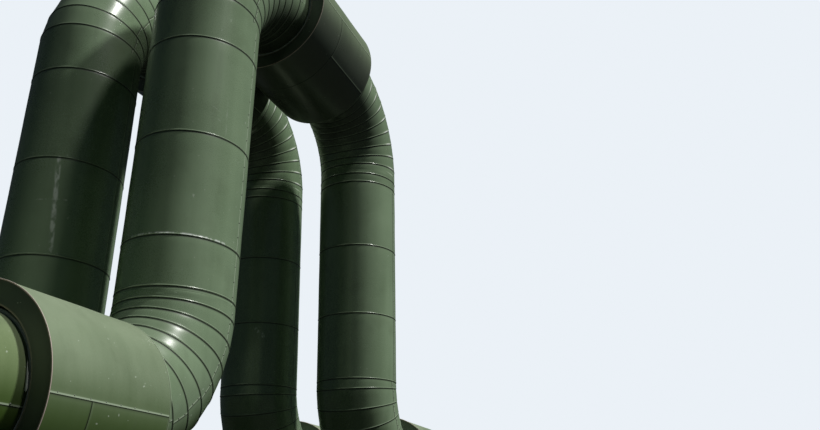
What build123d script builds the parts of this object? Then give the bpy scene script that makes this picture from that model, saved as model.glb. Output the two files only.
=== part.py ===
from build123d import *
import os
from math import cos, pi, radians, sin, tan

# Two insulated pipes climb side by side, cross a clear way overhead and come down again.
# X runs along the pipes, Y across them, and Z up from the ground under the trestles.
# The origin lies on the ground, between the two pipes and midway along their whole length.

# Driving dimensions of the pipes, in millimetres and degrees
LEG_SPAN = 4200.0
LEG_LEAN = 1.7
RUN_AXIS_HEIGHT = 2300.0
TOP_RISE = 5175.0
CARRIER_RADIUS = 457.0
CARRIER_WALL = 12.5
INSULATION = 93.0
BEND_THROAT = 555.0
BEND_GORES = 9

# Driving dimensions of the sleeves, the wider covers over the expansion joints
SLEEVE_STANDOFF = 210.0
SLEEVE_CLEARANCE = 30.0
LOW_SLEEVE_LENGTH = 1210.0
NEAR_SLEEVE_LAP = 175.0
BEND_TO_TOP_SLEEVE = 92.0
TOP_SLEEVE_TO_BEND = 225.0
BEND_TO_FAR_SLEEVE = 30.0
RING_PLATE = 5.0
RING_GAP = 40.0
RING_GAP_DEPTH = 70.0
SEAL_HEIGHT = 25.0
SEAL_LENGTH = 40.0

# Driving dimensions of the two cut ends
RUN_BEYOND_SLEEVE = 2200.0
CARRIER_STICK_OUT = 180.0

# Driving dimensions of the two trestles
TRESTLE_FROM_SLEEVE = 1100.0
COLUMN_OUTSIDE_AXIS = 175.0
COLUMN_SIDE = 200.0
COLUMN_WALL = 10.0
BEAM_PAST_SADDLE = 40.0
BEAM_HEIGHT = 240.0
BEAM_WIDTH = 240.0
BEAM_FLANGE = 17.0
BEAM_WEB = 10.0
HEAD_PLATE = 16.0
FOOT_SIDE = 420.0
FOOT_PLATE = 25.0
FOOT_HOLE_RADIUS = 13.0
FOOT_HOLE_SPACING = 330.0
GUSSET_HEIGHT = 180.0
GUSSET_REACH = 95.0
GUSSET_PLATE = 12.0

# Driving dimensions of the saddles that cradle the lower runs
SADDLE_LENGTH = 500.0
SADDLE_PLATE = 12.0
SADDLE_ARC = 120.0
SADDLE_RIBS = 3
SADDLE_RIB = 14.0
SADDLE_SOLE = 20.0
SADDLE_STANDOFF = 120.0

# Lengths, places and heights that follow from the driving dimensions
JACKET_RADIUS = CARRIER_RADIUS + INSULATION
BEND_RADIUS = JACKET_RADIUS + BEND_THROAT
SLEEVE_RADIUS = JACKET_RADIUS + SLEEVE_STANDOFF
LOOP_SPACING = 2 * SLEEVE_RADIUS + SLEEVE_CLEARANCE
LEAN = radians(LEG_LEAN)
BEND_REACH = BEND_RADIUS * cos(LEAN)
BEND_RISE = BEND_RADIUS * (1 - sin(LEAN))
LEG_RISE = TOP_RISE - 2 * BEND_RISE
LEG_LENGTH = LEG_RISE / cos(LEAN)
LEG_SHIFT = LEG_RISE * tan(LEAN)
NEAR_REACH = BEND_REACH + LOW_SLEEVE_LENGTH - NEAR_SLEEVE_LAP + RUN_BEYOND_SLEEVE + CARRIER_STICK_OUT
FAR_REACH = BEND_REACH + BEND_TO_FAR_SLEEVE + LOW_SLEEVE_LENGTH + RUN_BEYOND_SLEEVE + CARRIER_STICK_OUT
OVERALL_LENGTH = NEAR_REACH + LEG_SPAN + FAR_REACH
NEAR_LEG_X = NEAR_REACH - OVERALL_LENGTH / 2
FAR_LEG_X = NEAR_LEG_X + LEG_SPAN
TOP_AXIS_HEIGHT = RUN_AXIS_HEIGHT + TOP_RISE
LEG_BOTTOM = RUN_AXIS_HEIGHT + BEND_RISE
LEG_TOP = TOP_AXIS_HEIGHT - BEND_RISE
LOW_BEND_START = NEAR_LEG_X - BEND_REACH
FAR_BEND_END = FAR_LEG_X + BEND_REACH
TOP_BEND_END = NEAR_LEG_X + LEG_SHIFT + BEND_REACH
TOP_BEND_START = FAR_LEG_X - LEG_SHIFT - BEND_REACH
NEAR_SLEEVE_END = LOW_BEND_START + NEAR_SLEEVE_LAP
NEAR_RING_X = NEAR_SLEEVE_END - LOW_SLEEVE_LENGTH
TOP_RING_X = TOP_BEND_END + BEND_TO_TOP_SLEEVE
TOP_SLEEVE_END = TOP_BEND_START - TOP_SLEEVE_TO_BEND
FAR_RING_X = FAR_BEND_END + BEND_TO_FAR_SLEEVE
FAR_SLEEVE_END = FAR_RING_X + LOW_SLEEVE_LENGTH
NEAR_END_X = NEAR_RING_X - RUN_BEYOND_SLEEVE
FAR_END_X = FAR_SLEEVE_END + RUN_BEYOND_SLEEVE
CARRIER_BORE = CARRIER_RADIUS - CARRIER_WALL
LOOPS = {"a": -LOOP_SPACING / 2, "b": LOOP_SPACING / 2}
SADDLE_OUTER = JACKET_RADIUS + SADDLE_PLATE
SADDLE_HALF_WIDTH = SADDLE_OUTER * sin(radians(SADDLE_ARC / 2))
BEAM_LENGTH = LOOP_SPACING + 2 * (SADDLE_HALF_WIDTH + BEAM_PAST_SADDLE)
BEAM_TOP = RUN_AXIS_HEIGHT - SADDLE_OUTER - SADDLE_STANDOFF - SADDLE_SOLE
BEAM_BOTTOM = BEAM_TOP - BEAM_HEIGHT
COLUMN_TOP = BEAM_BOTTOM - HEAD_PLATE
COLUMN_PLACES = [y + COLUMN_OUTSIDE_AXIS * (1 if y > 0 else -1) for y in LOOPS.values()]

os.makedirs("parts", exist_ok=True)


def save(shape, name):
    """Write one piece of the bridge."""
    export_step(shape, f"parts/{name}.step")


def tube(length, radius, bore):
    """An upright tube about the origin, or a solid bar where the bore is zero."""
    shape = Cylinder(radius, length)
    if bore > 0:
        shape -= Cylinder(bore, length)
    return shape


def tube_x(start, end, radius, bore, y, z):
    """A level tube along X."""
    return Pos((start + end) / 2, y, z) * Rot(0, 90, 0) * tube(end - start, radius, bore)


# Lobster-back bend
# Flat sheets can't follow a bend, so the cladding turns in gores cut on the mitre.
# The two end gores are half as long. The bend turns a little less than a right angle,
# because the legs lean toward each other.
def gore_path():
    """The bend's broken centreline, from straight below its centre of curvature."""
    turn = pi / 2 - LEAN
    gore_angle = turn / BEND_GORES
    corner_radius = BEND_RADIUS / cos(gore_angle / 2)
    corners = [(k + 0.5) * gore_angle for k in range(BEND_GORES)]
    points = [(0, 0, -BEND_RADIUS)]
    points += [(corner_radius * sin(a), 0, -corner_radius * cos(a)) for a in corners]
    points.append((BEND_RADIUS * sin(turn), 0, -BEND_RADIUS * cos(turn)))
    return Polyline(*points)


def gored_bar(bar_radius):
    """A round bar that follows the broken centreline, with mitred corners."""
    path = gore_path()
    section = Plane(origin=path @ 0, z_dir=(1, 0, 0)) * Circle(bar_radius)
    return sweep(section, path=path, transition=Transition.RIGHT)


bend_outside = gored_bar(JACKET_RADIUS)
bend = bend_outside - gored_bar(CARRIER_BORE)
low_centre = RUN_AXIS_HEIGHT + BEND_RADIUS
top_centre = TOP_AXIS_HEIGHT - BEND_RADIUS
for loop, y in LOOPS.items():
    save(Pos(LOW_BEND_START, y, low_centre) * bend, f"near_lower_bend_{loop}")
    save(Pos(TOP_BEND_END, y, top_centre) * Rot(0, 180, 0) * bend, f"near_upper_bend_{loop}")
    save(Pos(TOP_BEND_START, y, top_centre) * Rot(180, 0, 0) * bend, f"far_upper_bend_{loop}")
    save(Pos(FAR_BEND_END, y, low_centre) * Rot(0, 0, 180) * bend, f"far_lower_bend_{loop}")


# Legs
# Each leg is a straight pipe in rolled sheets. The near and far legs lean toward each
# other, so that the loop is narrower at the top.
leg = tube(LEG_LENGTH, JACKET_RADIUS, CARRIER_BORE)
leg_middle = (LEG_BOTTOM + LEG_TOP) / 2
for loop, y in LOOPS.items():
    save(Pos(NEAR_LEG_X + LEG_SHIFT / 2, y, leg_middle) * Rot(0, LEG_LEAN, 0) * leg, f"near_leg_{loop}")
    save(Pos(FAR_LEG_X - LEG_SHIFT / 2, y, leg_middle) * Rot(0, -LEG_LEAN, 0) * leg, f"far_leg_{loop}")


# Straight runs
# The top run joins the two upper bends. The lower runs end in a plain cut, where the
# steel carrier pipe stands out of its insulation, ready to be welded on.
for loop, y in LOOPS.items():
    top_run = tube_x(TOP_BEND_END, TOP_BEND_START, JACKET_RADIUS, CARRIER_BORE, y, TOP_AXIS_HEIGHT)
    save(top_run, f"top_run_{loop}")
    near_run = tube_x(NEAR_END_X, LOW_BEND_START, JACKET_RADIUS, CARRIER_RADIUS, y, RUN_AXIS_HEIGHT)
    save(near_run, f"near_run_{loop}")
    far_run = tube_x(FAR_BEND_END, FAR_END_X, JACKET_RADIUS, CARRIER_RADIUS, y, RUN_AXIS_HEIGHT)
    save(far_run, f"far_run_{loop}")
    near_carrier = tube_x(NEAR_END_X - CARRIER_STICK_OUT, LOW_BEND_START, CARRIER_RADIUS, CARRIER_BORE,
                          y, RUN_AXIS_HEIGHT)
    save(near_carrier, f"near_carrier_{loop}")
    far_carrier = tube_x(FAR_BEND_END, FAR_END_X + CARRIER_STICK_OUT, CARRIER_RADIUS, CARRIER_BORE,
                         y, RUN_AXIS_HEIGHT)
    save(far_carrier, f"far_carrier_{loop}")


# Sleeves
# Each sleeve is a wider jacket over an expansion joint. Its end toward -X is open:
# a flat ring plate with a gap round the pipe, and a seal set back in the gap. The near
# sleeve laps over the start of the bend beside it, and is cut to fit round it.
def sleeve(start, end, pipe_end, y, z):
    """The thick jacket behind its ring plate, round the pipe as far as the pipe's end."""
    body = tube_x(start + RING_PLATE, end, SLEEVE_RADIUS, 0, y, z)
    gap = tube_x(start, start + RING_GAP_DEPTH, JACKET_RADIUS + RING_GAP, 0, y, z)
    return body - gap - tube_x(start, pipe_end, JACKET_RADIUS, 0, y, z)


def ring_plate(start, y, z):
    """The flat plate that closes the sleeve's end, as far as the gap."""
    return tube_x(start, start + RING_PLATE, SLEEVE_RADIUS, JACKET_RADIUS + RING_GAP, y, z)


def seal(start, y, z):
    """The soft strip round the pipe, against the bottom of the gap."""
    gap_end = start + RING_GAP_DEPTH
    return tube_x(gap_end - SEAL_LENGTH, gap_end, JACKET_RADIUS + SEAL_HEIGHT, JACKET_RADIUS, y, z)


for loop, y in LOOPS.items():
    near_sleeve = sleeve(NEAR_RING_X, NEAR_SLEEVE_END, LOW_BEND_START, y, RUN_AXIS_HEIGHT)
    near_sleeve -= Pos(LOW_BEND_START, y, low_centre) * bend_outside
    save(near_sleeve, f"near_sleeve_{loop}")
    top_sleeve = sleeve(TOP_RING_X, TOP_SLEEVE_END, TOP_SLEEVE_END, y, TOP_AXIS_HEIGHT)
    save(top_sleeve, f"top_sleeve_{loop}")
    far_sleeve = sleeve(FAR_RING_X, FAR_SLEEVE_END, FAR_SLEEVE_END, y, RUN_AXIS_HEIGHT)
    save(far_sleeve, f"far_sleeve_{loop}")
    ends = [(NEAR_RING_X, RUN_AXIS_HEIGHT), (TOP_RING_X, TOP_AXIS_HEIGHT), (FAR_RING_X, RUN_AXIS_HEIGHT)]
    save(Compound(children=[ring_plate(x, y, z) for x, z in ends]), f"sleeve_ring_plates_{loop}")
    save(Compound(children=[seal(x, y, z) for x, z in ends]), f"sleeve_seals_{loop}")


# Trestles
# A trestle stands under each pair of lower runs: two box columns on bolted feet, and a
# beam across them that the saddles rest on.
def beam(x):
    """A wide-flange beam along Y."""
    outline = Rectangle(BEAM_WIDTH, BEAM_HEIGHT)
    side_pocket = Rectangle((BEAM_WIDTH - BEAM_WEB) / 2, BEAM_HEIGHT - 2 * BEAM_FLANGE)
    pocket_centre = (BEAM_WIDTH + BEAM_WEB) / 4
    profile = outline - Pos(pocket_centre, 0) * side_pocket - Pos(-pocket_centre, 0) * side_pocket
    length = extrude(Plane.XZ * profile, amount=BEAM_LENGTH / 2, both=True)
    return Pos(x, 0, BEAM_BOTTOM + BEAM_HEIGHT / 2) * length


def column(x, y):
    """A box column with its head plate."""
    height = COLUMN_TOP - FOOT_PLATE
    inner = COLUMN_SIDE - 2 * COLUMN_WALL
    shaft = Box(COLUMN_SIDE, COLUMN_SIDE, height) - Box(inner, inner, height)
    head = Pos(x, y, COLUMN_TOP + HEAD_PLATE / 2) * Box(BEAM_WIDTH, BEAM_WIDTH, HEAD_PLATE)
    return Pos(x, y, FOOT_PLATE + height / 2) * shaft + head


def foot(x, y):
    """A foot plate with four anchor holes, and a gusset on each side of the column."""
    plate = Box(FOOT_SIDE, FOOT_SIDE, FOOT_PLATE)
    plate -= GridLocations(FOOT_HOLE_SPACING, FOOT_HOLE_SPACING, 2, 2) * Cylinder(FOOT_HOLE_RADIUS, FOOT_PLATE)
    shape = Pos(0, 0, FOOT_PLATE / 2) * plate
    side = Polygon((0, 0), (GUSSET_REACH, 0), (0, GUSSET_HEIGHT), align=None)
    gusset = extrude(Plane.XZ * side, amount=GUSSET_PLATE / 2, both=True)
    gusset = Pos(COLUMN_SIDE / 2, 0, FOOT_PLATE) * gusset
    for turn in range(4):
        shape += Rot(0, 0, 90 * turn) * gusset
    return Pos(x, y, 0) * shape


# Saddles
# A curved plate cradles the jacket, on ribs that stand on a flat sole.
def saddle(x, y):
    """One saddle, built about the pipe's axis."""
    half_length = SADDLE_LENGTH / 2
    width = 2 * SADDLE_HALF_WIDTH
    rim_drop = SADDLE_OUTER * cos(radians(SADDLE_ARC / 2))
    sole_top = -SADDLE_OUTER - SADDLE_STANDOFF
    below_rim = Pos(0, 0, (sole_top - rim_drop) / 2) * Box(SADDLE_LENGTH, width, -sole_top - rim_drop)
    cradle = tube_x(-half_length, half_length, SADDLE_OUTER, JACKET_RADIUS, 0, 0) & below_rim
    rib_block = below_rim - tube_x(-half_length, half_length, SADDLE_OUTER, 0, 0, 0)
    pitch = (SADDLE_LENGTH - SADDLE_RIB) / (SADDLE_RIBS - 1)
    shape = cradle
    for k in range(SADDLE_RIBS):
        rib_x = SADDLE_RIB / 2 - half_length + k * pitch
        slab = Pos(rib_x, 0, 0) * Box(SADDLE_RIB, 4 * SADDLE_OUTER, 4 * SADDLE_OUTER)
        shape += rib_block & slab
    shape += Pos(0, 0, sole_top - SADDLE_SOLE / 2) * Box(SADDLE_LENGTH, width, SADDLE_SOLE)
    return Pos(x, y, RUN_AXIS_HEIGHT) * shape


trestles = {"near": NEAR_RING_X - TRESTLE_FROM_SLEEVE, "far": FAR_SLEEVE_END + TRESTLE_FROM_SLEEVE}
for place, x in trestles.items():
    save(beam(x), f"{place}_trestle_beam")
    save(Compound(children=[column(x, y) for y in COLUMN_PLACES]), f"{place}_trestle_columns")
    save(Compound(children=[foot(x, y) for y in COLUMN_PLACES]), f"{place}_trestle_feet")
    save(Compound(children=[saddle(x, y) for y in LOOPS.values()]), f"{place}_saddles")
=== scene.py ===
import math

import bpy
import numpy as np
from mathutils import Matrix, Vector


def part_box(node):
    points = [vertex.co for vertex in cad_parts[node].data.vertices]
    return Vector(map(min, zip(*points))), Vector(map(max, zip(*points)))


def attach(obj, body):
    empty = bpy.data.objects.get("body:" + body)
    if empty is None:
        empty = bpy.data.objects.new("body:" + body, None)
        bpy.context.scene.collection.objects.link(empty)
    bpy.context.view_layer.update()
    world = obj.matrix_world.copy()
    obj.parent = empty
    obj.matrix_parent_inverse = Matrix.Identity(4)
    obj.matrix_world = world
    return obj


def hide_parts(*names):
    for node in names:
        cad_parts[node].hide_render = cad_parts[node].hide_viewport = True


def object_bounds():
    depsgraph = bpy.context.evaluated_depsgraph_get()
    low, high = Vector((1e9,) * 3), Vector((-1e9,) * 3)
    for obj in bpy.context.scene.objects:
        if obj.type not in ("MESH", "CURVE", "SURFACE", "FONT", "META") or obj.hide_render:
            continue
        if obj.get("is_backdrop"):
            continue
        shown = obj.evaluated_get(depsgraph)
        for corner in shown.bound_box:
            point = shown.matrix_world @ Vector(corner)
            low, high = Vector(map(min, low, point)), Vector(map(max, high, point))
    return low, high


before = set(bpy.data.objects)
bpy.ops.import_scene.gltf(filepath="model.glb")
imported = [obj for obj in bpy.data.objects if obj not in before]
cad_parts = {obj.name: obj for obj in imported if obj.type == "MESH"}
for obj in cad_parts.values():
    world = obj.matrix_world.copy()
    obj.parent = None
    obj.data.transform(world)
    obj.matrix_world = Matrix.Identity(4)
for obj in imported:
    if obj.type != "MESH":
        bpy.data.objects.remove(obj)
cad_low, cad_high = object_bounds()

# Legs of the two pipes
# Rolled steel sheets, coated dark olive green, wrap the insulation. Each sheet ends in a
# swaged bead that laps over the sheet below it, and closes down its length with a screwed lap.
jacket_radius = 0.550
bend_radius = 1.105
lean = math.radians(1.7)
near_run_low, near_run_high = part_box("near_run_a")
far_run_low, far_run_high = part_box("far_run_a")
top_run_low, top_run_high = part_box("top_run_a")
run_height = (near_run_low.z + near_run_high.z) / 2
top_height = (top_run_low.z + top_run_high.z) / 2
bend_reach = bend_radius * math.cos(lean)
bend_rise = bend_radius * (1 - math.sin(lean))
near_leg_x = near_run_high.x + bend_reach
far_leg_x = far_run_low.x - bend_reach
leg_bottom = run_height + bend_rise
leg_length = (top_height - bend_rise - leg_bottom) / math.cos(lean)
loops = {}
for loop in ("a", "b"):
    low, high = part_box(f"near_run_{loop}")
    loops[loop] = (low.y + high.y) / 2
chance = np.random.default_rng(27)


class Wire:
    """A socket in a material, on which sums are written as plain Python."""

    def __init__(self, tree, socket=None):
        self.tree = tree
        self.socket = socket

    def node(self, kind, settings, values, out=0):
        """Adds a node, sets it up, fills or links its sockets and gives one of its outputs."""
        made = self.tree.nodes.new(kind)
        for name, value in settings.items():
            setattr(made, name, value)
        for name, value in values.items():
            if isinstance(value, Wire):
                self.tree.links.new(value.socket, made.inputs[name])
            else:
                made.inputs[name].default_value = value
        return Wire(self.tree, made.outputs[out])

    def maths(self, operation, first, second):
        return self.node("ShaderNodeMath", {"operation": operation}, {0: first, 1: second})

    def __add__(self, other):
        return self.maths("ADD", self, other)

    __radd__ = __add__

    def __sub__(self, other):
        return self.maths("SUBTRACT", self, other)

    def __rsub__(self, other):
        return self.maths("SUBTRACT", other, self)

    def __mul__(self, other):
        return self.maths("MULTIPLY", self, other)

    __rmul__ = __mul__

    def held(self):
        """The value, kept from 0 to 1."""
        return self.node("ShaderNodeClamp", {}, {0: self})

    def step(self, low, high):
        """0 below low and 1 above high, with a soft change between them."""
        settings = {"interpolation_type": "SMOOTHSTEP"}
        return self.node("ShaderNodeMapRange", settings, {0: self, 1: low, 2: high})

    def value(self, name):
        """A number that the mesh carries at each point."""
        return self.node("ShaderNodeAttribute", {"attribute_name": name}, {}, "Fac")

    def noise(self, where, scale, detail):
        """Cloudy noise from 0 to 1."""
        return self.node("ShaderNodeTexNoise", {}, {"Vector": where, "Scale": scale, "Detail": detail})

    def vector(self, operation, first, second, out=0):
        """A sum on two vectors."""
        return self.node("ShaderNodeVectorMath", {"operation": operation}, {0: first, 1: second}, out)

    def stretch(self, where, factors):
        """The place, scaled along each axis, so that noise there is drawn out."""
        return self.vector("MULTIPLY", where, factors)

    def stripe(self, where, first, second, width):
        """1 along the line between two points and 0 away from it, with a soft edge."""
        line = Vector(second) - Vector(first)
        heading = tuple(line / line.length)
        offset = self.vector("SUBTRACT", where, tuple(first))
        along = self.vector("DOT_PRODUCT", offset, heading, "Value")
        limits = {0: along, 1: 0.0, 2: line.length, 3: 0.0, 4: line.length}
        on_line = self.node("ShaderNodeMapRange", {}, limits)
        nearest = self.node("ShaderNodeVectorMath", {"operation": "SCALE"}, {0: heading, "Scale": on_line})
        away = self.vector("DISTANCE", offset, nearest, "Value")
        return 1 - away.step(0.35 * width, width)

    def mix(self, amount, first, second):
        """One colour over another, by an amount from 0 to 1."""
        settings = {"data_type": "RGBA"}
        return self.node("ShaderNodeMix", settings, {0: amount, 6: first, 7: second}, 2)

    def bump(self, strength, distance, height):
        """The surface's normal, made uneven by a height."""
        return self.node("ShaderNodeBump", {}, {"Strength": strength, "Distance": distance, "Height": height})

    def feed(self, shader, name):
        self.tree.links.new(self.socket, shader.inputs[name])


def paint(name):
    """A new material, its shader, a wire to start from and the place of each point."""
    material = bpy.data.materials.new(name)
    material.use_nodes = True
    shader = material.node_tree.nodes["Principled BSDF"]
    start = Wire(material.node_tree)
    where = start.node("ShaderNodeNewGeometry", {}, {}, "Position")
    return material, shader, start, where


def coated_sheet(name, dark, light, roughness, film_and_shade_limit, marks=(), worn_and_highlight=(0.50, 0.60, 0.43, 1), stained=0.16):
    """Coated steel sheet outdoors: uneven in tone, with drips, dust on top, and soiling and painted
    shade in the laps.

    What faces the ground, where the normal's height is under the limit given after roughness, is
    darker: green with algae and painted bounce light low down, and dark with soiling and painted
    shade higher up. stained is how strong the blots are. The colour given after marks is that of
    scuffed edges and of the painted highlights on beads and lap edges. marks lists pale scuffed
    streaks and a painted highlight: their two ends, their width and their strength.
    """
    blot_brown = (0.092, 0.117, 0.062, 1)
    algae_and_bounce_green = (0.047, 0.100, 0.007, 1)
    dirt_and_shade_dark = (0.060, 0.068, 0.052, 1)
    dust_pale = (0.38, 0.43, 0.31, 1)
    drip_dark = (0.073, 0.092, 0.055, 1)
    speck_pale = (0.60, 0.67, 0.55, 1)
    bare_and_glint_white = (0.82, 0.86, 0.78, 1)
    chalk_and_glint_pale = (0.74, 0.80, 0.72, 1)
    shade_and_dirt_black = (0.012, 0.014, 0.009, 1)
    material, shader, start, where = paint(name)
    facing = start.node("ShaderNodeNewGeometry", {}, {}, "Normal")
    upward = start.node("ShaderNodeSeparateXYZ", {}, {0: facing}, "Z")
    height = start.node("ShaderNodeSeparateXYZ", {}, {0: where}, "Z")
    tone = start.value("tone")
    seam = start.value("seam")
    crest = start.value("crest")
    patches = start.noise(where, 1.1, 4.0)
    drips = start.noise(start.stretch(where, (9.0, 6.0, 0.45)), 1.0, 5.0)
    grit = start.noise(where, 90.0, 3.0)
    level = 0.5 + 0.09 * tone + (patches - 0.5) + 0.70 * (drips - 0.5) + 0.35 * (grit - 0.5)
    colour = start.mix(level.held(), dark, light)
    blots = start.noise(where, 3.4, 6.0).step(0.50, 0.72)
    colour = start.mix(stained * blots, colour, blot_brown)
    # Darker on what faces the ground: painted shade, with algae and green painted bounce light low down and
    # dark dirt higher up.
    underside_film_and_shade = 1 - upward.step(film_and_shade_limit - 0.7, film_and_shade_limit)
    film_and_shade_colour = start.mix(height.step(3.2, 5.2), algae_and_bounce_green, dirt_and_shade_dark)
    colour = start.mix(0.84 * underside_film_and_shade, colour, film_and_shade_colour)
    dust = upward.step(0.25, 1.0) * (0.25 + 0.5 * patches + 0.25 * grit)
    colour = start.mix((0.30 * dust).held(), colour, dust_pale)
    runs = drips.step(0.60, 0.78) * (0.3 + 0.7 * start.noise(where, 6.0, 2.0))
    colour = start.mix(0.28 * runs, colour, drip_dark)
    # Paler on bead crests and lap edges: worn paint and painted highlights, turning white as bare metal and
    # painted glints where strongest.
    colour = start.mix(0.50 * crest, colour, worn_and_highlight)
    colour = start.mix(crest.step(1.8, 2.6), colour, bare_and_glint_white)
    specks = start.noise(where, 30.0, 1.0).step(0.76, 0.79)
    colour = start.mix(0.45 * specks, colour, speck_pale)
    # The marks are scuffed streaks, and one of them is a painted highlight.
    for first, second, width, strength in marks:
        ragged = start.noise(start.stretch(where, (25.0, 25.0, 12.0)), 1.0, 5.0).step(0.38, 0.66)
        streak = strength * start.stripe(where, first, second, width) * ragged
        colour = start.mix(streak, colour, chalk_and_glint_pale)
    # Nearly black in laps, corners and gaps: painted shade, with some dirt.
    start.mix(0.88 * seam, colour, shade_and_dirt_black).feed(shader, "Base Color")
    rough = roughness + 0.16 * (patches - 0.5) + 0.22 * dust + 0.10 * (grit - 0.5) + 0.25 * seam
    rough.held().feed(shader, "Roughness")
    dents = start.noise(where, 3.2, 1.0) * 0.8 + grit * 0.04
    start.bump(0.35, 0.006, dents).feed(shader, "Normal")
    shader.inputs["Specular IOR Level"].default_value = 1.0
    return material


# The rows of one sheet, from its edge inward: distance and height in mm, dirt with painted shade, and wear
# with painted highlight. A covered edge is dark with painted shade under the bead that laps over it, and a
# bead's crest is pale with wear and a painted highlight.
covered_edge = [(0, -2.6, 1.0, 0), (9, -2.4, 1.0, 0), (14, -1.7, 0.35, 0), (26, -0.6, 0, 0)]
swaged_edge = [(0, -2.6, 1.0, 0), (0, 0.5, 0.5, 0.1), (3, 0.7, 0.1, 0.3), (5.5, 2.2, 0, 0.7),
               (8, 3.2, 0, 1.0), (10.5, 2.3, 0, 0.7), (13, 0.6, 0.1, 0.1), (17, 0, 0.2, 0), (30, 0, 0, 0)]
joined_edge = [(0, 0, 0, 0), (20, 0, 0, 0)]
# The columns at the two sides of a sheet's lengthwise lap, with the same four numbers: painted shade under
# the lap, and a painted highlight on its edge.
under_lap = [(-16, -0.9, 1.0, 0), (0, -0.9, 1.0, 0), (6, -0.8, 0.9, 0), (11, -0.5, 0.3, 0), (26, 0, 0, 0)]
over_lap = [(24, 0, 0, 0), (13, 0.5, 0, 0), (9, 0.9, 0, 1.4), (3, 1.1, 0, 1.7), (0, 1.1, 0, 1.7)]
glint_angle = 4.66
glint_spread = 0.19


def sheet(place, start, end, radius, lap_angle, first, last, middle=6, columns=110, swell=0.0006,
          arc=2 * math.pi, tone=None, glint_strength=0):
    """One sheet as a grid: its points, and its tone, its soiling with painted shade and its scuffing with
    painted highlights at each of them.

    place gives a point from an angle, a length along the pipe and a radius, and start and end
    give the sheet's two edges from an angle and a radius. first and last are those edges' forms.
    swell is how far the sheet waves between them, and arc is how far round it goes. The last
    argument is how strong the painted highlights are on its beads at one side. Its tone is drawn
    by chance unless it is given.
    """
    turn = arc * radius
    spread = np.linspace(0.05, turn - 0.05, columns)
    under, over = np.array(under_lap), np.array(over_lap)
    across = np.concatenate([under[:, 0] / 1000, spread, turn - over[:, 0] / 1000])
    angle = lap_angle + across / radius
    # The lengthwise lap's lift, its dirt with painted shade, and its painted highlight.
    lift, lap_shade_and_grime, shine = (np.concatenate([under[:, k], np.zeros(columns), over[:, k]]) for k in (1, 2, 3))
    lift = lift / 1000
    waves = [(chance.integers(1, 6), chance.uniform(4, 11), chance.uniform(0, 6.3), chance.uniform(-1, 1))
             for _ in range(5)]
    # Painted highlights on the beads at one side of the sheet, strong enough to turn white.
    glint_band = glint_strength * np.exp(-((angle % (2 * math.pi) - glint_angle) / glint_spread) ** 2)
    # 0 up to 30 mm from the lap, where the screws hold the sheet, and 1 from 110 mm on.
    loose = np.clip((np.minimum(across, turn - across) - 0.03) / 0.08, 0, 1)

    def edge_rows(form, edge, sign):
        """The rows along one edge. An edge that joins another piece flush has no lap in it."""
        lapped = 0 if form is joined_edge else 1
        rows = []
        for distance, height, dirt_and_shade, wear_and_highlight in form:
            radii = radius + height / 1000 + lapped * lift * (height > -2)
            along = edge(angle, radius) + sign * distance / 1000
            bead_wear_and_highlight = wear_and_highlight + glint_band * (height > -1) * (distance < 20)
            rows.append((radii, along, np.maximum(lapped * lap_shade_and_grime, dirt_and_shade),
                         np.maximum(lapped * shine, bead_wear_and_highlight)))
        return rows

    head = edge_rows(first, start, 1)
    tail = edge_rows(last, end, -1)[::-1]
    body = []
    for k in range(middle):
        part = (k + 1) / (middle + 1)
        along = head[-1][1] * (1 - part) + tail[0][1] * part
        wave = sum(size * np.sin(count * (angle - lap_angle) + rate * along + phase)
                   for count, rate, phase, size in waves)
        free = swell * math.sin(math.pi * part) * loose
        body.append((radius + lift + free * wave, along, lap_shade_and_grime, shine))
    rows = head + body + tail
    points = np.stack([place(angle, along, radii) for radii, along, _, _ in rows])
    drawn = chance.uniform(-1, 1)
    tones = np.full(points.shape[:2], drawn if tone is None else tone)
    return points, tones, np.stack([row[2] for row in rows]), np.stack([row[3] for row in rows])


def skin(name, grids, material, slot, closed=False):
    """One smooth mesh from several grids, with their tone, their soiling with painted shade and their
    scuffing with painted highlights kept on its points.
    """
    points, tones, seams, crests, faces, count = [], [], [], [], [], 0
    for grid, tone, seam, crest in grids:
        rows, columns = grid.shape[:2]
        index = np.arange(rows * columns).reshape(rows, columns) + count
        beside = np.roll(index, -1, axis=1) if closed else index[:, 1:]
        here = index if closed else index[:, :-1]
        faces.append(np.stack([here[:-1], beside[:-1], beside[1:], here[1:]], axis=-1).reshape(-1, 4))
        points.append(grid.reshape(-1, 3))
        tones.append(tone.ravel())
        seams.append(seam.ravel())
        crests.append(crest.ravel())
        count += rows * columns
    return mesh_piece(name, np.concatenate(points), np.concatenate(faces), material, slot,
                      tone=np.concatenate(tones), seam=np.concatenate(seams), crest=np.concatenate(crests))


def mesh_piece(name, points, faces, material, slot, sharp=38, **values):
    """A mesh object of quads that rides on the frame, with any values kept on its points."""
    mesh = bpy.data.meshes.new(name)
    mesh.vertices.add(len(points))
    mesh.vertices.foreach_set("co", np.ascontiguousarray(points, np.float32).ravel())
    mesh.loops.add(faces.size)
    mesh.loops.foreach_set("vertex_index", faces.astype(np.int32).ravel())
    mesh.polygons.add(len(faces))
    mesh.polygons.foreach_set("loop_start", np.arange(0, faces.size, faces.shape[1], dtype=np.int32))
    mesh.update(calc_edges=True)
    mesh.validate()
    for label, data in values.items():
        mesh.attributes.new(label, "FLOAT", "POINT").data.foreach_set("value", data.astype(np.float32))
    mesh.shade_smooth()
    mesh.set_sharp_from_angle(angle=math.radians(sharp))
    mesh.materials.append(material)
    piece = bpy.data.objects.new(name, mesh)
    bpy.context.scene.collection.objects.link(piece)
    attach(piece, "root")
    return piece


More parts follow.
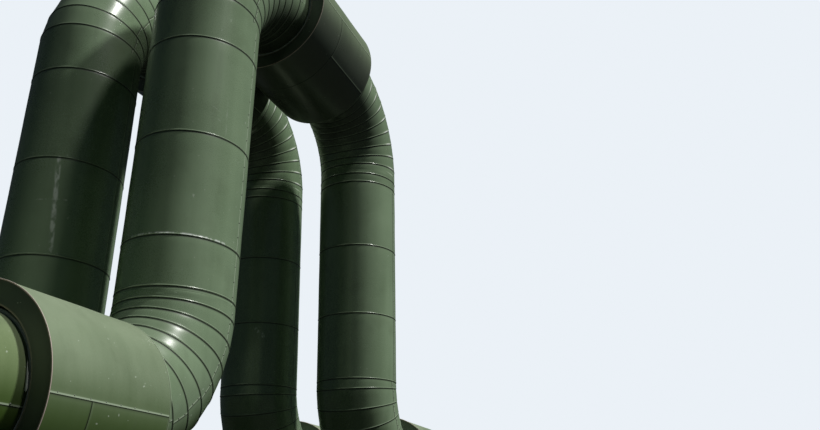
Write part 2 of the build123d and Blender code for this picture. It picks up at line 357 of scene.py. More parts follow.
def straight(foot, along, out):
    """Places points round a straight pipe, from its foot, its direction and where angle 0 is."""
    foot, along, out, side = (np.array(v, float) for v in (foot, along, out, (0, 1, 0)))

    def place(angle, length, radius):
        ring = np.cos(angle)[:, None] * out + np.sin(angle)[:, None] * side
        return foot + length[:, None] * along + np.asarray(radius)[:, None] * ring

    return place


def on_leg(side, loop):
    """Places points round one leg, which leans toward the other leg of its loop."""
    sign, foot_x = (1, near_leg_x) if side == "near" else (-1, far_leg_x)
    return straight((foot_x, loops[loop], leg_bottom), (sign * math.sin(lean), 0, math.cos(lean)),
                    (sign * math.cos(lean), 0, -math.sin(lean)))


def cut(length):
    """A square edge, the same all the way round."""
    return lambda angle, radius: np.full(len(angle), float(length))


def around(sides):
    """Angles once round, from 0, all the same step apart."""
    return np.linspace(0, 2 * math.pi, sides + 1)[:-1]


def turned_parts(name, places, normals, material, slot, size, profile, sides):
    """Small turned parts in one mesh, each on a normal, from a profile of radii and heights."""
    turn = around(sides)
    points, faces, count = [], [], 0
    for place, normal in zip(places, normals):
        normal = np.array(normal) / np.linalg.norm(normal)
        first = np.cross(normal, (0.31, 0.22, 0.92))
        first /= np.linalg.norm(first)
        second = np.cross(normal, first)
        ring = np.cos(turn)[:, None] * first + np.sin(turn)[:, None] * second
        rows = np.stack([np.array(place) + size * (r * ring + h * normal) for r, h in profile])
        index = np.arange(rows.shape[0] * sides).reshape(rows.shape[0], sides) + count
        beside = np.roll(index, -1, axis=1)
        faces.append(np.stack([index[:-1], beside[:-1], beside[1:], index[1:]], axis=-1).reshape(-1, 4))
        points.append(rows.reshape(-1, 3))
        count += rows.shape[0] * sides
    mesh_piece(name, np.concatenate(points), np.concatenate(faces), material, slot, sharp=50)


screw_metal, shader, start, where = paint("screw_heads")
tarnish = start.noise(where, 60.0, 2.0)
start.mix(tarnish, (0.20, 0.24, 0.17, 1), (0.36, 0.40, 0.33, 1)).feed(shader, "Base Color")
shader.inputs["Roughness"].default_value = 0.42
shader.inputs["Metallic"].default_value = 0.3
screw_pitch = 0.147
screw_inset = 0.012
screw_seat = 0.0018
screw_head = [(1.55, -0.1), (1.55, 0.12), (1.0, 0.18), (0.95, 0.55), (0.6, 0.82), (0.0, 0.92)]


def screw_row(place, at, lap, radius, seat=screw_seat):
    """The places and directions of the screws down one lap, just inside its edge."""
    turned = np.full(len(at), lap - screw_inset / radius)
    spots = place(turned, at, np.full(len(at), radius + seat))
    return spots, spots - place(turned, at, np.full(len(at), radius - 0.1))


def screws(name, rows, slot, size=0.0045):
    """The screw heads of several laps, on washers, in one mesh."""
    spots = np.concatenate([row[0] for row in rows])
    normals = np.concatenate([row[1] for row in rows])
    turned_parts(name, spots, normals, screw_metal, slot, size, screw_head, 8)


# Pale rubbed streaks on the legs and one painted highlight: the leg, both ends as height and angle, width and
# strength.
marks_and_glints = [("near", "b", (1.56, 3.70), (0.60, 3.83), 0.032, 0.9),
        ("near", "b", (1.10, 3.42), (1.11, 3.70), 0.012, 0.5),
        ("near", "b", (1.11, 3.70), (1.12, 3.95), 0.012, 0.5),
        ("near", "b", (0.575, 3.82), (0.56, 3.95), 0.016, 0.7),
        ("far", "b", (0.78, 5.88), (0.75, 5.85), 0.034, 1.0),
        ("far", "b", (0.71, 5.72), (0.68, 5.70), 0.030, 1.0),
        ("near", "a", (2.03, 4.30), (1.62, 4.33), 0.006, 0.25),
        ("near", "a", (1.80, 4.02), (1.74, 4.20), 0.006, 0.3),
        ("near", "a", (1.88, 4.02), (1.84, 4.18), 0.006, 0.3)]
# A broken white line goes part of the way round the near leg of loop a: a painted highlight along the bead of
# a seam.
for turned in np.arange(2.85, 4.5, 0.17):
    marks_and_glints.append(("near", "a", (0.546, turned), (0.546, turned + 0.15), 0.015, 1.0))
streaks = []
for side, loop, *ends, width, strength in marks_and_glints:
    first, second = (on_leg(side, loop)(np.array([angle]), np.array([height]), [jacket_radius])[0]
                     for height, angle in ends)
    streaks.append((tuple(first), tuple(second), width, strength))
pipe_green = coated_sheet("pipe_cladding", (0.172, 0.244, 0.141, 1), (0.288, 0.388, 0.245, 1), 0.28, -0.05,
                          streaks)

leg_seams = {"near": [0.056, 0.532, 1.571, 2.619], "far": [0.882, 1.853, 2.807, 2.935]}
leg_lap = {"near": 4.935, "far": math.pi - 4.75}
screw_rows = []
for side in ("near", "far"):
    for loop in loops:
        place = on_leg(side, loop)
        edges = [0.0] + leg_seams[side] + [leg_length]
        grids = []
        for k, (low, high) in enumerate(zip(edges, edges[1:])):
            foot = joined_edge if k == 0 and side == "near" else swaged_edge
            head = joined_edge if high == leg_length else covered_edge
            lap = leg_lap[side] + 0.012 * (k % 2)
            grids.append(sheet(place, cut(low), cut(high), jacket_radius, lap, foot, head, middle=8,
                               tone=0 if joined_edge in (foot, head) else None))
        leg = skin(f"{side}_leg_sheets_{loop}", grids, pipe_green, "pipe_cladding")
        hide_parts(f"{side}_leg_{loop}")
        at = np.arange(0.10, leg_length - 0.05, screw_pitch)
        screw_rows.append(screw_row(place, at, leg_lap[side], jacket_radius))
screws("leg_screws", screw_rows, "pipe_cladding")

# Lobster-back bends
# Flat sheets can't follow a bend, so each one is made of mitred gores, half as long at the
# ends. Every gore has a swaged bead that laps over the next, and a screwed lap at its side.
gore_count = 9
gore_turn = (math.pi / 2 - lean) / gore_count


def gore(centre, first, second, low, middle_angle, high):
    """Places points on one gore of a bend, and gives its two mitred edges."""
    centre, first, second = (np.array(v, float) for v in (centre, first, second))
    out = first * math.cos(middle_angle) + second * math.sin(middle_angle)
    along = -first * math.sin(middle_angle) + second * math.cos(middle_angle)

    def place(angle, length, radius):
        radius = np.asarray(radius)
        outward = (bend_radius + radius * np.cos(angle))[:, None] * out
        sideways = (radius * np.sin(angle))[:, None] * (0, 1, 0)
        return centre + (outward + sideways) + length[:, None] * along

    def mitre(limit):
        return lambda angle, radius: (bend_radius + radius * np.cos(angle)) * math.tan(limit - middle_angle)

    return place, mitre(low), mitre(high)


low_centre = run_height + bend_radius
top_centre = top_height - bend_radius
# Each bend's centre, its two directions from there, and the end of a gore that has the bead.
bends = {
    "near_lower": ((near_run_high.x, low_centre), (0, 0, -1), (1, 0, 0), "end"),
    "near_upper": ((top_run_low.x, top_centre), (0, 0, 1), (-1, 0, 0), "start"),
    "far_upper": ((top_run_high.x, top_centre), (0, 0, 1), (1, 0, 0), "start"),
    "far_lower": ((far_run_low.x, low_centre), (0, 0, -1), (-1, 0, 0), "end"),
}
bend_lap = {"near_lower": 4.95, "near_upper": 4.60, "far_upper": 4.85, "far_lower": 4.75}
screw_rows = []
for name, ((x, z), first, second, swaged_at) in bends.items():
    for loop, y in loops.items():
        grids = []
        for k in range(gore_count + 1):
            whole = 0 < k < gore_count
            low = max(0, (k - 0.5) * gore_turn)
            high = min(gore_count * gore_turn, (k + 0.5) * gore_turn)
            middle_angle = k * gore_turn if whole else low if k == 0 else high
            place, low_edge, high_edge = gore((x, y, z), first, second, low, middle_angle, high)
            lap = bend_lap[name] + 0.05 * (k % 2)
            forms = [swaged_edge, covered_edge] if swaged_at == "end" else [covered_edge, swaged_edge]
            if k == 0:
                forms[0] = joined_edge
            if k == gore_count and name != "far_lower":
                forms[1] = joined_edge
            # The far upper bends get painted highlights on their beads, and loop b's far upper bend is
            # painted darker all over as painted shade.
            tone = -3 if (name, loop) == ("far_upper", "b") else 0 if joined_edge in forms else None
            grids.append(sheet(place, low_edge, high_edge, jacket_radius, lap, *forms, middle=2, columns=104,
                               swell=0.0002, tone=tone, glint_strength=2.6 if name == "far_upper" else 0))
            share = np.array([0.36, 0.78] if whole else [0.5])
            turned = np.full(len(share), lap - screw_inset / jacket_radius)
            seat = jacket_radius + screw_seat
            at = low_edge(turned, seat) * (1 - share) + high_edge(turned, seat) * share
            screw_rows.append(screw_row(place, at, lap, jacket_radius))
        bend = skin(f"{name}_bend_gores_{loop}", grids, pipe_green, "pipe_cladding")
        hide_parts(f"{name}_bend_{loop}")
screws("bend_screws", screw_rows, "pipe_cladding")

# Straight runs
# The top runs and the two lower runs of each pipe, in the same rolled sheets as the legs. At
# the cut ends the jacket stops square, and its mineral wool shows round the steel pipe.
wool, shader, start, where = paint("mineral_wool")
fibres = start.noise(start.stretch(where, (1.0, 2.2, 2.2)), 34.0, 6.0)
layers = start.noise(where, 7.0, 2.0)
wool_colour = start.mix((0.6 * fibres + 0.4 * layers).held(), (0.25, 0.20, 0.09, 1), (0.62, 0.53, 0.30, 1))
wool_colour.feed(shader, "Base Color")
start.bump(0.9, 0.01, fibres).feed(shader, "Normal")
shader.inputs["Roughness"].default_value = 0.95
run_green = coated_sheet("run_cladding", (0.132, 0.186, 0.080, 1), (0.252, 0.330, 0.164, 1), 0.30, 0.35,
                         stained=0.6)
carrier_radius = 0.457
run_pitch = 0.97
shortest_course = 0.25
run_lap = {"near": 4.95, "top": 4.4, "far": 4.85}
wool_sides = 96
wool_depth = 0.010
wool_profile = [(jacket_radius - 0.0030, 0.0), (jacket_radius - 0.0042, 0.0), (jacket_radius - 0.0045, 0.012)]
for k in range(7):
    wool_profile.append((jacket_radius - 0.006 - k * 0.0145, wool_depth))
wool_profile += [(carrier_radius + 0.002, 0.012), (carrier_radius - 0.002, 0.050)]


def level_pipe(y, z):
    """Places points round a level pipe, with angle 0 at the bottom."""
    return straight((0, y, z), (1, 0, 0), (0, 0, -1))


def lathed(place, x, profile, sides=144):
    """A form turned round a level pipe, from rows of radius, distance along it, soiling with painted shade,
    and scuffing with painted highlight.
    """
    turn = around(sides)
    points = np.stack([place(turn, np.full(sides, x + dx), np.full(sides, r)) for r, dx, _, _ in profile])
    dirt_and_shade, wear_and_highlight = (np.stack([np.full(sides, float(row[k])) for row in profile]) for k in (2, 3))
    return points, dirt_and_shade * 0, dirt_and_shade, wear_and_highlight


screw_rows = []
for side, low, high in (("near", near_run_low.x, near_run_high.x), ("far", far_run_low.x, far_run_high.x)):
    for loop, y in loops.items():
        place = level_pipe(y, run_height)
        if side == "near":
            edges = [low] + list(np.arange(high, low + shortest_course, -run_pitch)[::-1])
            cut_x, inward = low, 1
        else:
            edges = list(np.arange(low, high - shortest_course, run_pitch)) + [high]
            cut_x, inward = high, -1
        grids = []
        for a, b in zip(edges, edges[1:]):
            forms = [joined_edge if side == "far" and a == edges[0] else covered_edge,
                     joined_edge if side == "near" and b == edges[-1] else swaged_edge]
            grids.append(sheet(place, cut(a), cut(b), jacket_radius, run_lap[side], *forms, middle=7,
                               tone=0 if joined_edge in forms else None))
        run = skin(f"{side}_run_sheets_{loop}", grids, run_green, "pipe_cladding")
        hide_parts(f"{side}_run_{loop}")
        at = np.arange(low + 0.07, high - 0.05, screw_pitch)
        screw_rows.append(screw_row(place, at, run_lap[side], jacket_radius))
        lumps = chance.normal(0, 0.0022, (len(wool_profile), wool_sides))
        lumps[:3] = 0
        face = lathed(place, cut_x, [(r, inward * depth, 0, 0) for r, depth in wool_profile], wool_sides)
        face[0][:, :, 0] += inward * lumps
        skin(f"{side}_run_wool_{loop}", [face], wool, None, closed=True)
for loop, y in loops.items():
    place = straight((0, y, top_height), (1, 0, 0), (0, 0, 1))
    low, high = top_run_low.x, top_run_high.x
    middle_x = (low + high) / 2
    lap = run_lap["top"]
    grids = [sheet(place, cut(low), cut(middle_x), jacket_radius, lap, joined_edge, swaged_edge, tone=0),
             sheet(place, cut(middle_x), cut(high), jacket_radius, lap, covered_edge, joined_edge, tone=0)]
    top_run = skin(f"top_run_sheets_{loop}", grids, pipe_green, "pipe_cladding")
    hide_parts(f"top_run_{loop}")
screws("run_screws", screw_rows, "pipe_cladding")

# Sleeves over the expansion joints
# Wide jackets of the same sheet, one length above and two courses below, with a screwed lap at
# the side. A folded collar and a flat plate close the far end down to the pipe.
sleeve_green = coated_sheet("sleeve_cladding", (0.173, 0.228, 0.135, 1), (0.294, 0.364, 0.235, 1), 0.30,
                            0.35)
sleeve_radius = 0.7555
ring_thick = 0.005
collar_wide = 0.012
sleeve_laps = {"near": 4.775, "top": 4.60, "far": 4.775}
sleeve_splits = {"near": 0.32, "top": 0.36, "far": 0.68}
short_lap = 0.73
lapped_edge = [(0, -2.0, 1.0, 0), (0, 0.7, 0.4, 0.3), (6, 0.7, 0, 0.2), (24, 0, 0, 0)]
under_edge = [(-14, -1.6, 1.0, 0), (0, -1.5, 1.0, 0), (6, -1.2, 0.8, 0), (12, -0.6, 0.1, 0), (26, 0, 0, 0)]
rim_edge = [(0, -0.6, 0.6, 0), (3, 0, 0, 0.4), (10, 0, 0, 0)]
# The collar's rows, from the jacket over the rim and down to the pipe: radius, distance, dirt with painted
# shade in its corners, and wear with painted highlight.
collar = [(0.7530, -0.013, 0.9, 0), (0.7560, -0.012, 0.5, 0.2), (0.7572, -0.008, 0, 0.5),
          (0.7570, -0.001, 0, 0.6), (0.7540, 0.0, 0, 0.2), (0.7420, 0.0, 0.1, 0), (0.7400, -0.004, 0.5, 0),
          (0.7300, -0.006, 0.2, 0), (0.66, -0.008, 0.0, 0), (0.58, -0.007, 0.1, 0), (0.56, -0.006, 0.7, 0),
          (0.50, -0.006, 1.0, 0)]
ring_spots = []
screw_rows = []
for loop, y in loops.items():
    for name, z in (("near", run_height), ("top", top_height), ("far", run_height)):
        low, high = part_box(f"{name}_sleeve_{loop}")
        open_x = low.x - ring_thick
        closed_x = high.x
        ring_spots.append((loop, open_x, y, z))
        place = level_pipe(y, z)
        lap = sleeve_laps[name]
        back = lap + math.pi
        first_x = open_x + 0.001
        split = open_x + sleeve_splits[name] * (closed_x - open_x)
        last_x = closed_x - collar_wide
        courses = [(first_x, last_x, back, lap + 2 * math.pi), (first_x, split, lap, back)]
        if name == "top":
            courses += [(split, last_x, lap, lap + short_lap), (split, last_x, lap + short_lap, back)]
        else:
            courses += [(split, last_x, lap, back)]
        grids = []
        for low_x, high_x, low_angle, high_angle in courses:
            forms = [lapped_edge if low_x == split else rim_edge, under_edge if high_x == split else rim_edge]
            grids.append(sheet(place, cut(low_x), cut(high_x), sleeve_radius, low_angle, *forms, middle=8,
                               columns=int(24 * (high_angle - low_angle)), arc=high_angle - low_angle))
        jacket = skin(f"{name}_sleeve_sheets_{loop}", grids, sleeve_green, "sleeve_cladding")
        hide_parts(f"{name}_sleeve_{loop}")
        skin(f"{name}_sleeve_collar_{loop}", [lathed(place, closed_x, collar)], sleeve_green,
             "sleeve_cladding", closed=True)
        at = np.arange(open_x + 0.07, closed_x - 0.05, screw_pitch)
        screw_rows.append(screw_row(place, at, lap, sleeve_radius, seat=0.0005))
screws("sleeve_screws", screw_rows, "sleeve_cladding", size=0.0038)

# Ring plates at the sleeves' open ends
# Flat sheet rings, in three lapped sectors and a short strip at the bottom, painted much darker than the
# jackets as painted shade. The outer rim is rolled, and the inner edge is turned in round the gap.
plate_shaded_green = coated_sheet("end_plate", (0.040, 0.058, 0.038, 1), (0.080, 0.108, 0.071, 1), 0.5, -0.4,
                           worn_and_highlight=(0.72, 0.52, 0.46, 1))
# The plate's rows, from its rolled outer rim to its inner edge, and those of the gap behind it, which is
# painted nearly black as painted shade.
ring_plate = [(0.7545, 0.012, 1.0, 0), (0.7580, 0.006, 0.2, 1.6), (0.7596, 0.003, 0, 2.1),
              (0.7585, 0.0008, 0, 2.1), (0.7520, 0.0004, 0, 1.8), (0.7490, 0.0004, 0.3, 0),
              (0.7440, 0.0010, 0.3, 0), (0.70, 0.0016, 0, 0), (0.64, 0.0016, 0, 0),
              (0.606, 0.0012, 0.2, 0), (0.599, 0.0006, 0, 0.5), (0.594, 0.0012, 0, 1.0),
              (0.590, 0.005, 0, 0.6), (0.590, 0.012, 0.4, 0)]
flat_rows = [k for k, row in enumerate(ring_plate) if 0.60 < row[0] < 0.75]
throat = [(0.590, 0.012, 0.4, 0), (0.590, 0.070, 1.0, 0), (0.545, 0.0705, 1.0, 0)]
turn = around(144)
sector_step = 0.0005 * np.sign(np.sin(1.5 * turn + 0.4))
plates = {"a": [], "b": []}
throats = {"a": [], "b": []}
for loop, x, y, z in ring_spots:
    plate = lathed(level_pipe(y, z), x, ring_plate)
    plate[0][flat_rows, :, 0] += sector_step
    plates[loop].append(plate)
    throats[loop].append(lathed(level_pipe(y, z), x, throat))
for loop in loops:
    plate = skin(f"sleeve_ring_plates_fine_{loop}", plates[loop], plate_shaded_green, "end_plate", closed=True)
    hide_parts(f"sleeve_ring_plates_{loop}")
    skin(f"sleeve_throats_{loop}", throats[loop], plate_shaded_green, "end_plate", closed=True)

# Seals in the sleeves' open ends
# A soft light-grey strip lies round the pipe at the back of the gap. It is pressed in by hand,
# so it bulges and waves a little. In the nearest sleeve a torn length has come loose.
seal_grey, shader, start, where = paint("seal_strip")
crumbs = start.noise(where, 45.0, 4.0)
stains = start.noise(where, 5.0, 3.0)
clean = (0.35 * crumbs + 0.65 * stains).held()
seal_colour = start.mix(clean, (0.42, 0.44, 0.43, 1), (0.80, 0.82, 0.82, 1))
seal_colour.feed(shader, "Base Color")
start.bump(0.6, 0.004, crumbs).feed(shader, "Normal")
shader.inputs["Roughness"].default_value = 0.85
# The strip's section, as radii and distances behind the plate.
bulge = [(0.549, 0.031), (0.556, 0.0300), (0.5635, 0.0305), (0.5700, 0.0345), (0.5730, 0.041),
         (0.5735, 0.052), (0.5720, 0.062), (0.566, 0.069), (0.549, 0.0695)]


def plain(points):
    """A grid with no tone, dirt or wear."""
    flat = np.zeros(points.shape[:2])
    return points, flat, flat, flat


strips = {"a": [], "b": []}
for loop, x, y, z in ring_spots:
    place = level_pipe(y, z)
    wobble = 0.0015 * np.sin(7 * turn + chance.uniform(0, 6))
    wobble += 0.001 * np.sin(23 * turn + chance.uniform(0, 6))
    points = np.stack([place(turn, x + dx + wobble * (k < 5), r + wobble * (0 < k < 8))
                       for k, (r, dx) in enumerate(bulge)])
    strips[loop].append(plain(points))
for loop in loops:
    seals = skin(f"sleeve_seals_soft_{loop}", strips[loop], seal_grey, "seal_strip", closed=True)
    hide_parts(f"sleeve_seals_{loop}")
_, x, y, z = ring_spots[0]
place = level_pipe(y, z)
section = around(10)
tongue = []
for part in np.linspace(0, 1, 17):
    thick = 0 < part < 1
    half = 0.0085 * min(1, 2.4 * part) * thick
    depth = x + 0.005 - 0.009 * part + 0.0022 * thick * np.cos(section)
    radii = 0.562 + 0.012 * part ** 2 + half * np.sin(section)
    tongue.append(place(np.full(len(section), 4.42 + 0.36 * part), depth, radii))
skin("near_seal_loose_end_a", [plain(np.stack(tongue))], seal_grey, "seal_strip", closed=True)

# Carrier pipe
# Steel pipe in red-brown primer, with rust coming through. It stands out of the insulation at
# the cut ends, where it is bevelled and left bare for the next butt weld.
primer, shader, start, where = paint("carrier_steel")
clouds = start.noise(where, 3.0, 5.0)
specks = start.noise(where, 70.0, 3.0)
rust = clouds.step(0.52, 0.72) * (0.35 + 0.65 * specks)
colour = start.mix(clouds, (0.125, 0.056, 0.040, 1), (0.21, 0.094, 0.062, 1))
start.mix((0.7 * rust).held(), colour, (0.25, 0.106, 0.044, 1)).feed(shader, "Base Color")
(0.62 + 0.25 * rust).held().feed(shader, "Roughness")
start.bump(0.3, 0.002, specks).feed(shader, "Normal")
bare, shader, start, where = paint("bare_weld_end")
lathe = start.noise(start.stretch(where, (160.0, 4.0, 4.0)), 1.0, 2.0)
start.mix(lathe, (0.30, 0.29, 0.28, 1), (0.46, 0.45, 0.44, 1)).feed(shader, "Base Color")
(0.30 + 0.25 * lathe).feed(shader, "Roughness")
shader.inputs["Metallic"].default_value = 0.9
carrier_wall = 0.0125
bore = carrier_radius - carrier_wall
bevel = [(carrier_radius, 0.030), (carrier_radius, 0.0070), (bore + 0.0016, 0.0), (bore, 0.0), (bore, 0.02)]
for side in ("near", "far"):
    for loop, y in loops.items():
        low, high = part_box(f"{side}_carrier_{loop}")
        end_x, inward = (low.x, 1) if side == "near" else (high.x, -1)
        pipe_long = high.x - low.x
        tube = [(carrier_radius, depth) for depth in (pipe_long, 0.30, 0.16, 0.030)]
        inside = [(bore, depth) for depth in (0.02, 0.4, pipe_long)]
        for label, line, finish in (("tube", tube, primer), ("bevel", bevel, bare), ("bore", inside, primer)):
            profile = [(r, inward * dx, 0, 0) for r, dx in line]
            wall = lathed(level_pipe(y, run_height), end_x, profile)
            piece = skin(f"{side}_carrier_{label}_{loop}", [wall], finish, "carrier_steel", closed=True)
            if label == "tube":
                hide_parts(f"{side}_carrier_{loop}")

# Saddles and trestles
# Rolled and plate steel, shop welded, painted grey. The beams carry the saddles, and the
# columns stand on bolted feet.
steel_grey, shader, start, where = paint("grey_steel_paint")
clouds = start.noise(where, 2.2, 4.0)
specks = start.noise(where, 50.0, 4.0)
washed = start.noise(start.stretch(where, (10.0, 10.0, 1.2)), 1.0, 4.0)
colour = start.mix((0.5 * clouds + 0.5 * washed).held(), (0.20, 0.22, 0.22, 1), (0.36, 0.385, 0.385, 1))
chips = specks.step(0.66, 0.72) * clouds.step(0.45, 0.6)
start.mix(chips, colour, (0.16, 0.075, 0.037, 1)).feed(shader, "Base Color")
(0.42 + 0.2 * clouds + 0.2 * chips).held().feed(shader, "Roughness")
start.bump(0.2, 0.001, specks).feed(shader, "Normal")
for name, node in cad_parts.items():
    if "saddles" in name or "trestle" in name:
        node.data.materials.clear()
        node.data.materials.append(steel_grey)

# Welds and root fillets of the trestles and saddles
# Fillet welds run where the plates, ribs and columns meet, with the ripples of hand welding
# under the paint. The rolled beam has a smooth fillet between its web and each flange.
column_leg = 0.008
plate_leg = 0.006


def weld(path, first, second, leg):
    """A rippled bead in the corner between two faces, whose normals are first and second."""
    path = np.array(path, float)
    steps = np.linalg.norm(np.diff(path, axis=0), axis=1)
    length = np.concatenate([[0], np.cumsum(steps)])
    at = np.linspace(0, length[-1], max(8, int(length[-1] / 0.0035)))
    spine = np.stack([np.interp(at, length, path[:, k]) for k in range(3)], axis=-1)
    first, second = (np.broadcast_to(np.array(n, float), path.shape) for n in (first, second))
    first, second = (np.stack([np.interp(at, length, n[:, k]) for k in range(3)], axis=-1)
                     for n in (first, second))
    ripple = leg * (1 + 0.10 * np.sin(at * 2 * math.pi / 0.011) + 0.06 * np.sin(at * 97.0))
    rows = []
    for turned in np.linspace(0, math.pi / 2, 5):
        swollen = 0.80 + 0.20 * abs(math.cos(2 * turned))
        outward = math.cos(turned) * first + math.sin(turned) * second
        rows.append(spine + (ripple * swollen)[:, None] * outward)
    return np.stack(rows, axis=1)


up = np.array((0, 0, 1.0))
down = -up
# Sizes of the plates and sections that the welds follow.
beam_flange = 0.017
beam_web = 0.010
root_radius = 0.021
half_foot = 0.210
half_column = 0.100
head_plate = 0.016
gusset_half = 0.006
gusset_reach = 0.095
gusset_height = 0.180
saddle_outer = 0.562
saddle_standoff = 0.120
saddle_half_arc = 60
weld_half_arc = 58
rib_half = 0.007
for side in ("near", "far"):
    foot_low, foot_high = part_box(f"{side}_trestle_feet")
    column_low, column_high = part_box(f"{side}_trestle_columns")
    beam_low, beam_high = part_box(f"{side}_trestle_beam")
    middle_x = (foot_low.x + foot_high.x) / 2
    plate_top = column_low.z * up
    head_under = (column_high.z - head_plate) * up
    beads = []
    for y in (foot_low.y + half_foot, foot_high.y - half_foot):
        for k in range(4):
            out = np.array((math.cos(k * math.pi / 2), math.sin(k * math.pi / 2), 0.0))
            across = np.array((-out[1], out[0], 0.0))
            face = np.array((middle_x, y, 0.0)) + half_column * out
            left = face - half_column * across
            right = face + half_column * across
            beads.append(weld([left + plate_top, right + plate_top], out, up, column_leg))
            beads.append(weld([left + head_under, right + head_under], out, down, plate_leg))
            for hand in (-1, 1):
                root = face + hand * gusset_half * across + plate_top
                beads.append(weld([root, root + (gusset_reach - 0.012) * out], hand * across, up, plate_leg))
                beads.append(weld([root, root + (gusset_height - 0.020) * up], hand * across, out, plate_leg))
    skin(f"{side}_trestle_welds", [plain(bead) for bead in beads], steel_grey, "trestle_steel")
    fillets = []
    for hand in (-1, 1):
        for level, facing in ((beam_low.z + beam_flange, up), (beam_high.z - beam_flange, down)):
            corner = np.array((middle_x + hand * beam_web / 2, 0, level))
            out = np.array((hand, 0, 0.0))
            centre = corner + root_radius * (out + facing)
            ring = [centre - root_radius * (math.cos(t) * out + math.sin(t) * facing)
                    for t in np.linspace(0, math.pi / 2, 8)]
            fillets.append(np.stack([[point + np.array((0, y, 0)) for point in ring]
                                     for y in np.linspace(beam_low.y + 0.0005, beam_high.y - 0.0005, 9)]))
    skin(f"{side}_beam_fillets", [plain(fillet) for fillet in fillets], steel_grey, "trestle_steel")
    saddle_low, saddle_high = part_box(f"{side}_saddles")
    sole_top = run_height - saddle_outer - saddle_standoff
    half_width = saddle_outer * math.sin(math.radians(saddle_half_arc)) - 0.004
    sweep = np.radians(np.linspace(-weld_half_arc, weld_half_arc, 25))
    inward = [(0, math.sin(t), -math.cos(t)) for t in sweep]
    beads = []
    for y in loops.values():
        for rib_x in (saddle_low.x + rib_half, (saddle_low.x + saddle_high.x) / 2, saddle_high.x - rib_half):
            for hand in (-1, 1):
                x = rib_x + hand * rib_half
                if not saddle_low.x + 0.001 < x < saddle_high.x - 0.001:
                    continue
                sole = [(x, y - half_width, sole_top), (x, y + half_width, sole_top)]
                beads.append(weld(sole, (hand, 0, 0), up, column_leg))
                arc = [(x, y + saddle_outer * math.sin(t), run_height - saddle_outer * math.cos(t))
                       for t in sweep]
                beads.append(weld(arc, (hand, 0, 0), inward, plate_leg))
    skin(f"{side}_saddle_welds", [plain(bead) for bead in beads], steel_grey, "saddle_steel")

# Anchor bolts
# Threaded zinc-plated studs come up through each foot plate, with a washer and a hexagon nut.
# They are set in the ground and tightened once the trestle stands level.
zinc, shader, start, where = paint("zinc_plate")
spangle = start.noise(where, 70.0, 2.0)
start.mix(spangle, (0.30, 0.31, 0.31, 1), (0.50, 0.51, 0.50, 1)).feed(shader, "Base Color")
(0.38 + 0.25 * spangle).held().feed(shader, "Roughness")
shader.inputs["Metallic"].default_value = 0.85
thread = [(0.0120 if k % 2 else 0.0108, 0.020 + 0.0014 * k) for k in range(25)]
stud = [(0.0108, 0.0)] + thread + [(0.0095, 0.0565), (0.0, 0.0565)]
washer = [(0.0215, 0.0), (0.0220, 0.0006), (0.0220, 0.0034), (0.0212, 0.0040), (0.0120, 0.0040)]
nut = [(0.0196, 0.0040), (0.0208, 0.0052), (0.0208, 0.0210), (0.0196, 0.0222), (0.0125, 0.0222)]
bolt_inset = 0.045
bolt_across = 0.375
for side in ("near", "far"):
    low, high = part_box(f"{side}_trestle_feet")
    column_low, column_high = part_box(f"{side}_trestle_columns")
    spots = [(x, y, column_low.z) for x in (low.x + bolt_inset, high.x - bolt_inset)
             for y in (low.y + bolt_inset, low.y + bolt_across, high.y - bolt_across, high.y - bolt_inset)]
    for part, profile, sides in (("studs", stud, 16), ("washers", washer, 24), ("nuts", nut, 6)):
        turned_parts(f"{side}_anchor_{part}", spots, [up] * len(spots), zinc, "trestle_steel", 1.0, profile,
                     sides)

# Floor and light
# A plain pale floor and a pale surround. Two lamps stand high on the right, one weak and one
# stronger, and a broad soft lamp stands behind on the left.
floor_paint, shader, start, where = paint("floor")
seen = start.node("ShaderNodeLightPath", {}, {}, "Is Camera Ray")
start.mix(seen, (0.018, 0.021, 0.016, 1), (0.66, 0.67, 0.67, 1)).feed(shader, "Base Color")
shader.inputs["Roughness"].default_value = 0.9
bpy.ops.mesh.primitive_circle_add(vertices=96, radius=60, fill_type="NGON", location=(0, 0, -0.001))
floor = bpy.context.object
floor.name = "floor"
floor.data.materials.append(floor_paint)
floor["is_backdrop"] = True
world = bpy.data.worlds.new("surround")
bpy.context.scene.world = world
world.use_nodes = True
sky = Wire(world.node_tree)
camera_ray, glossy_ray, clear_ray = (sky.node("ShaderNodeLightPath", {}, {}, ray)
                                     for ray in ("Is Camera Ray", "Is Glossy Ray", "Is Transmission Ray"))
bright = (camera_ray + 0.02 * glossy_ray + clear_ray).held()
background = world.node_tree.nodes["Background"]
sky.mix(bright, (0.009, 0.017, 0.021, 1), (0.83, 0.88, 0.93, 1)).feed(background, "Color")


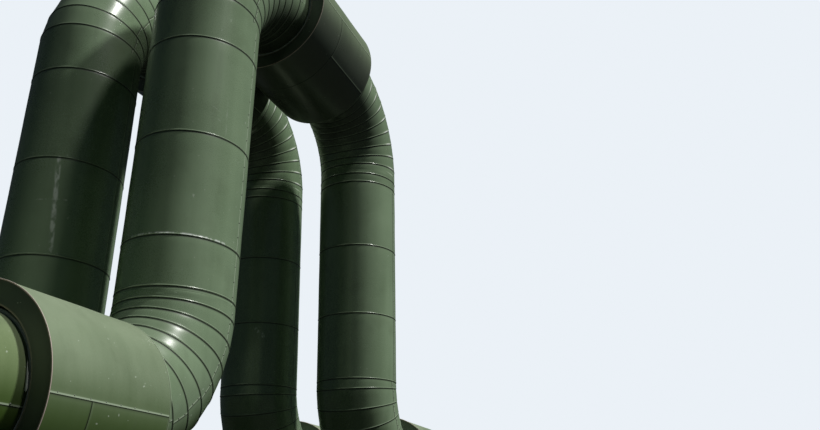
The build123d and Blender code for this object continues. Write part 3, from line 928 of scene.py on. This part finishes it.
def lamp(name, bearing, height, softness, strength, colour):
    """A far-off lamp: its bearing from +X towards +Y, its height angle and its spread in degrees.

    Its strength is the brightness that it gives a white sheet that faces it.
    """
    light = bpy.data.lights.new(name, "SUN")
    light.angle = math.radians(softness)
    light.energy = math.pi * strength
    light.color = colour
    holder = bpy.data.objects.new(name, light)
    bearing, height = math.radians(bearing), math.radians(height)
    level_x, level_y = math.cos(bearing), math.sin(bearing)
    toward = Vector((math.cos(height) * level_x, math.cos(height) * level_y, math.sin(height)))
    holder.rotation_euler = toward.to_track_quat("Z", "Y").to_euler()
    holder.location = 30 * toward
    bpy.context.scene.collection.objects.link(holder)
    return holder


# Only the key lamp shows in gloss, so that the highlights stay as narrow as the photo's.
lamp("key_lamp", 266.8, 59, 5, 0.31, (1.0, 0.99, 0.96))
lamp("side_lamp", 291, 52, 4, 0.95, (0.99, 1.0, 1.0)).visible_glossy = False
lamp("back_lamp", 50, 40, 30, 0.36, (0.95, 0.97, 1.0)).visible_glossy = False

# Camera
# It stands at eye height, to the right of the near pipe's axis, and looks up at the bends.
# Its numbers are in pixels of a picture of 820 by 430, in metres and in radians.
picture_wide = 820
picture_high = 430
focal_px = 789.37
centre_px = (376.06, 250.0)
pitch, roll, yaw = 0.33734, 0.010544, 0.39017
eye = Vector((near_leg_x - 5.8164, loops["a"] - 4.3913, run_height - 0.7957))
camera_data = bpy.data.cameras.new("camera")
camera_data.lens = focal_px / picture_wide * camera_data.sensor_width
camera_data.shift_x = (picture_wide / 2 - centre_px[0]) / picture_wide
camera_data.shift_y = (centre_px[1] - picture_high / 2) / picture_wide
camera_data.clip_end = 300
camera = bpy.data.objects.new("camera", camera_data)
bpy.context.scene.collection.objects.link(camera)
forward = Vector((math.cos(pitch) * math.cos(yaw), math.cos(pitch) * math.sin(yaw), math.sin(pitch)))
right = forward.cross(Vector((0, 0, 1))).normalized()
upward = right.cross(forward)
tilted_right = right * math.cos(roll) + upward * math.sin(roll)
tilted_up = upward * math.cos(roll) - right * math.sin(roll)
aim = Matrix((tilted_right, tilted_up, -forward)).transposed().to_4x4()
camera.matrix_world = Matrix.Translation(eye) @ aim
bpy.context.scene.camera = camera
bpy.context.scene.view_settings.view_transform = "Standard"

low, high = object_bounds()
{"cad": [list(cad_low), list(cad_high)], "visual": [list(low), list(high)]}
